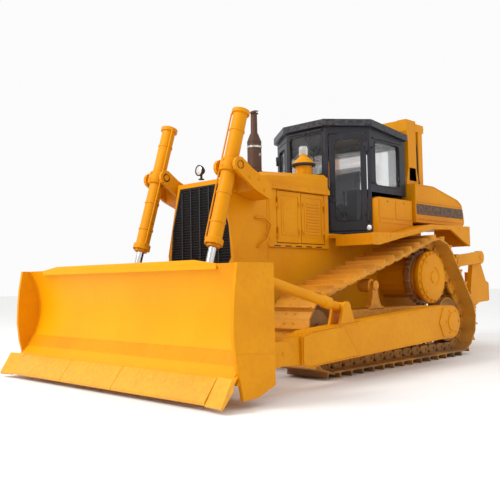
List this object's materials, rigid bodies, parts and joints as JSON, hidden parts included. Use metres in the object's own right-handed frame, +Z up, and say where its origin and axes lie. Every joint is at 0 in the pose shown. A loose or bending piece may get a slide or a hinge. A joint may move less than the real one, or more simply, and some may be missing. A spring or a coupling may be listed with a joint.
{
  "type": "crawler bulldozer with rear ripper",
  "caption": "Crawler bulldozer with raised drive sprockets, enclosed cab, straight tilting blade on side push arms, and a rear ripper on a parallel linkage.",
  "frame": {"origin": "on the ground, under the middle of the machine's overall length and width", "axes": "+X forwards towards the blade, +Y to the machine's left, +Z up"},
  "size_m": [6.82, 3.66, 3.25],
  "materials": {
    "yellow_paint": "semi-gloss, lightly worn",
    "cab_grey_paint": "satin",
    "black_plastic": "matte",
    "seat_cloth": "woven cloth",
    "window_glass": "clear, lightly tinted",
    "exhaust_steel": "dark heat-resistant coat",
    "chrome_rod": "polished",
    "track_steel": "painted and worn to steel",
    "cast_iron": "painted casting"
  },
  "bodies": {
    "tractor": {"air_precleaner": "yellow_paint", "battery_box": "yellow_paint", "cab_roof": "cab_grey_paint", "cab_shell": "cab_grey_paint", "control_console": "black_plastic", "engine_block": "cast_iron", "exhaust_stack": "exhaust_steel", "fender_left": "yellow_paint", "fender_right": "yellow_paint", "front_idler_left": "track_steel", "front_idler_right": "track_steel", "fuel_tank": "yellow_paint", "hood": "yellow_paint", "hydraulic_tank": "yellow_paint", "main_frame": "yellow_paint", "operator_seat": "seat_cloth", "radiator_grille": "black_plastic", "radiator_guard": "yellow_paint", "rear_glass": "window_glass", "rear_idler_left": "track_steel", "rear_idler_right": "track_steel", "ripper_bracket": "yellow_paint", "rops_frame": "yellow_paint", "side_glass_left": "window_glass", "side_glass_right": "window_glass", "sprocket_left": "yellow_paint", "sprocket_right": "yellow_paint", "track_frame_left": "yellow_paint", "track_frame_right": "yellow_paint", "track_left": "track_steel", "track_right": "track_steel", "windshield": "window_glass"},
    "lift_carrier": {"trunnion_bush_right": "track_steel"},
    "push_arm_right": {"push_arm_right": "yellow_paint"},
    "blade": {"blade": "yellow_paint", "cutting_edge": "track_steel", "push_arm_left": "yellow_paint", "brace_left": "yellow_paint"},
    "tilt_cylinder": {"tilt_cylinder": "yellow_paint"},
    "tilt_rod": {"tilt_rod": "chrome_rod"},
    "lift_cylinder_left": {"lift_cylinder_left": "yellow_paint"},
    "lift_rod_left": {"lift_rod_left": "chrome_rod"},
    "lift_cylinder_right": {"lift_cylinder_right": "yellow_paint"},
    "lift_rod_right": {"lift_rod_right": "chrome_rod"},
    "ripper_lower_arm": {"ripper_lower_arm": "yellow_paint"},
    "ripper_beam": {"ripper_beam": "yellow_paint"},
    "ripper_upper_link": {"ripper_upper_link": "yellow_paint"},
    "ripper_cylinder_left": {"ripper_cylinder_left": "yellow_paint"},
    "ripper_rod_left": {"ripper_rod_left": "chrome_rod"},
    "ripper_cylinder_right": {"ripper_cylinder_right": "yellow_paint"},
    "ripper_rod_right": {"ripper_rod_right": "chrome_rod"},
    "cab_door_left": {"cab_door_left": "cab_grey_paint", "door_glass_left": "window_glass"},
    "cab_door_right": {"cab_door_right": "cab_grey_paint", "door_glass_right": "window_glass"},
    "engine_door_front_left": {"engine_door_front_left": "yellow_paint"},
    "engine_door_rear_left": {"engine_door_rear_left": "yellow_paint"},
    "engine_door_front_right": {"engine_door_front_right": "yellow_paint"},
    "engine_door_rear_right": {"engine_door_rear_right": "yellow_paint"}
  },
  "joints": [
    {"name": "blade_lift", "type": "hinge", "parent": "tractor", "child": "lift_carrier", "pos_m": [-0.78, -1.485, 0.51], "axis": [0, -1, 0], "range_deg": [-7, 15.5]},
    {"name": "right_arm_pitch", "type": "hinge", "parent": "lift_carrier", "child": "push_arm_right", "pos_m": [-0.78, -1.485, 0.51], "axis": [0, -1, 0], "range_deg": [-2.62, 2.62]},
    {"name": "blade_tilt", "type": "hinge", "parent": "push_arm_right", "child": "blade", "pos_m": [2.42, -1.485, 0.385], "axis": [0.7327, -0.68, -0.0286], "range_deg": [-7.5, 7.5]},
    {"name": "tilt_cylinder_swing", "type": "hinge", "parent": "push_arm_right", "child": "tilt_cylinder", "pos_m": [1.37, -1.485, 0.76], "axis": [0.2199, -0.4833, -0.8474], "range_deg": [-3.45, 3.45]},
    {"name": "tilt_rod_stroke", "type": "slide", "parent": "tilt_cylinder", "child": "tilt_rod", "axis": [0.9679, 0, 0.2512], "range_m": [-0.0579, 0.0579]},
    {"name": "lift_cylinder_swing_left", "type": "hinge", "parent": "tractor", "child": "lift_cylinder_left", "pos_m": [2.077, 0.605, 2.26], "axis": [0, -1, 0], "range_deg": [-4.18, 9.23]},
    {"name": "lift_rod_stroke_left", "type": "slide", "parent": "lift_cylinder_left", "child": "lift_rod_left", "axis": [0.285, 0, -0.9585], "range_m": [-0.90445, 0.40901]},
    {"name": "lift_cylinder_swing_right", "type": "hinge", "parent": "tractor", "child": "lift_cylinder_right", "pos_m": [2.077, -0.605, 2.26], "axis": [0, -1, 0], "range_deg": [-4.18, 9.23]},
    {"name": "lift_rod_stroke_right", "type": "slide", "parent": "lift_cylinder_right", "child": "lift_rod_right", "axis": [0.285, 0, -0.9585], "range_m": [-0.90445, 0.40901]},
    {"name": "ripper_lift", "type": "hinge", "parent": "tractor", "child": "ripper_lower_arm", "pos_m": [-2.2, 0, 0.757], "axis": [0, 1, 0], "range_deg": [-47, 37]},
    {"name": "ripper_beam_pivot", "type": "hinge", "parent": "ripper_lower_arm", "child": "ripper_beam", "pos_m": [-2.93, 0, 0.821], "axis": [0, 1, 0], "range_deg": [-37.76, 47.96]},
    {"name": "ripper_link_pivot", "type": "hinge", "parent": "tractor", "child": "ripper_upper_link", "pos_m": [-2.25, 0, 1.298], "axis": [0, 1, 0], "range_deg": [-47.96, 37.76]},
    {"name": "ripper_cylinder_swing_left", "type": "hinge", "parent": "tractor", "child": "ripper_cylinder_left", "pos_m": [-2.22, 0.28, 1.545], "axis": [0, 1, 0], "range_deg": [-6.65, 5.24]},
    {"name": "ripper_rod_stroke_left", "type": "slide", "parent": "ripper_cylinder_left", "child": "ripper_rod_left", "axis": [-0.3843, 0, -0.9232], "range_m": [-0.19725, 0.25029]},
    {"name": "ripper_cylinder_swing_right", "type": "hinge", "parent": "tractor", "child": "ripper_cylinder_right", "pos_m": [-2.22, -0.28, 1.545], "axis": [0, 1, 0], "range_deg": [-6.65, 5.24]},
    {"name": "ripper_rod_stroke_right", "type": "slide", "parent": "ripper_cylinder_right", "child": "ripper_rod_right", "axis": [-0.3843, 0, -0.9232], "range_m": [-0.19725, 0.25029]},
    {"name": "cab_door_hinge_left", "type": "hinge", "parent": "tractor", "child": "cab_door_left", "pos_m": [-0.22206, 0.76799, 2.3], "axis": [0, 0, 1], "range_deg": [0, 105]},
    {"name": "cab_door_hinge_right", "type": "hinge", "parent": "tractor", "child": "cab_door_right", "pos_m": [-0.22206, -0.76799, 2.3], "axis": [0, 0, -1], "range_deg": [0, 105]},
    {"name": "engine_door_hinge_front_left", "type": "hinge", "parent": "tractor", "child": "engine_door_front_left", "pos_m": [1.22, 0.518, 1.79], "axis": [0, 0, -1], "range_deg": [0, 110]},
    {"name": "engine_door_hinge_rear_left", "type": "hinge", "parent": "tractor", "child": "engine_door_rear_left", "pos_m": [0.35, 0.518, 1.79], "axis": [0, 0, 1], "range_deg": [0, 90]},
    {"name": "engine_door_hinge_front_right", "type": "hinge", "parent": "tractor", "child": "engine_door_front_right", "pos_m": [1.22, -0.518, 1.79], "axis": [0, 0, 1], "range_deg": [0, 110]},
    {"name": "engine_door_hinge_rear_right", "type": "hinge", "parent": "tractor", "child": "engine_door_rear_right", "pos_m": [0.35, -0.518, 1.79], "axis": [0, 0, -1], "range_deg": [0, 90]}
  ],
  "couplings": [
    {"joint": "right_arm_pitch", "follows": "blade_tilt", "ratio": -0.34},
    {"joint": "tilt_cylinder_swing", "follows": "blade_tilt", "ratio": 0.44839},
    {"joint": "tilt_rod_stroke", "follows": "blade_tilt", "m_per_rad": -0.42619},
    {"joint": "lift_cylinder_swing_left", "follows": "blade_lift", "ratio": 0.58249},
    {"joint": "lift_rod_stroke_left", "follows": "blade_lift", "m_per_rad": -3.2741},
    {"joint": "lift_cylinder_swing_right", "follows": "blade_lift", "ratio": 0.58249},
    {"joint": "lift_rod_stroke_right", "follows": "blade_lift", "m_per_rad": -3.2741},
    {"joint": "ripper_beam_pivot", "follows": "ripper_lift", "ratio": -1},
    {"joint": "ripper_link_pivot", "follows": "ripper_lift", "ratio": 1},
    {"joint": "ripper_cylinder_swing_left", "follows": "ripper_lift", "ratio": 0.13834},
    {"joint": "ripper_rod_stroke_left", "follows": "ripper_lift", "m_per_rad": -0.29794},
    {"joint": "ripper_cylinder_swing_right", "follows": "ripper_lift", "ratio": 0.13834},
    {"joint": "ripper_rod_stroke_right", "follows": "ripper_lift", "m_per_rad": -0.29794}
  ]
}
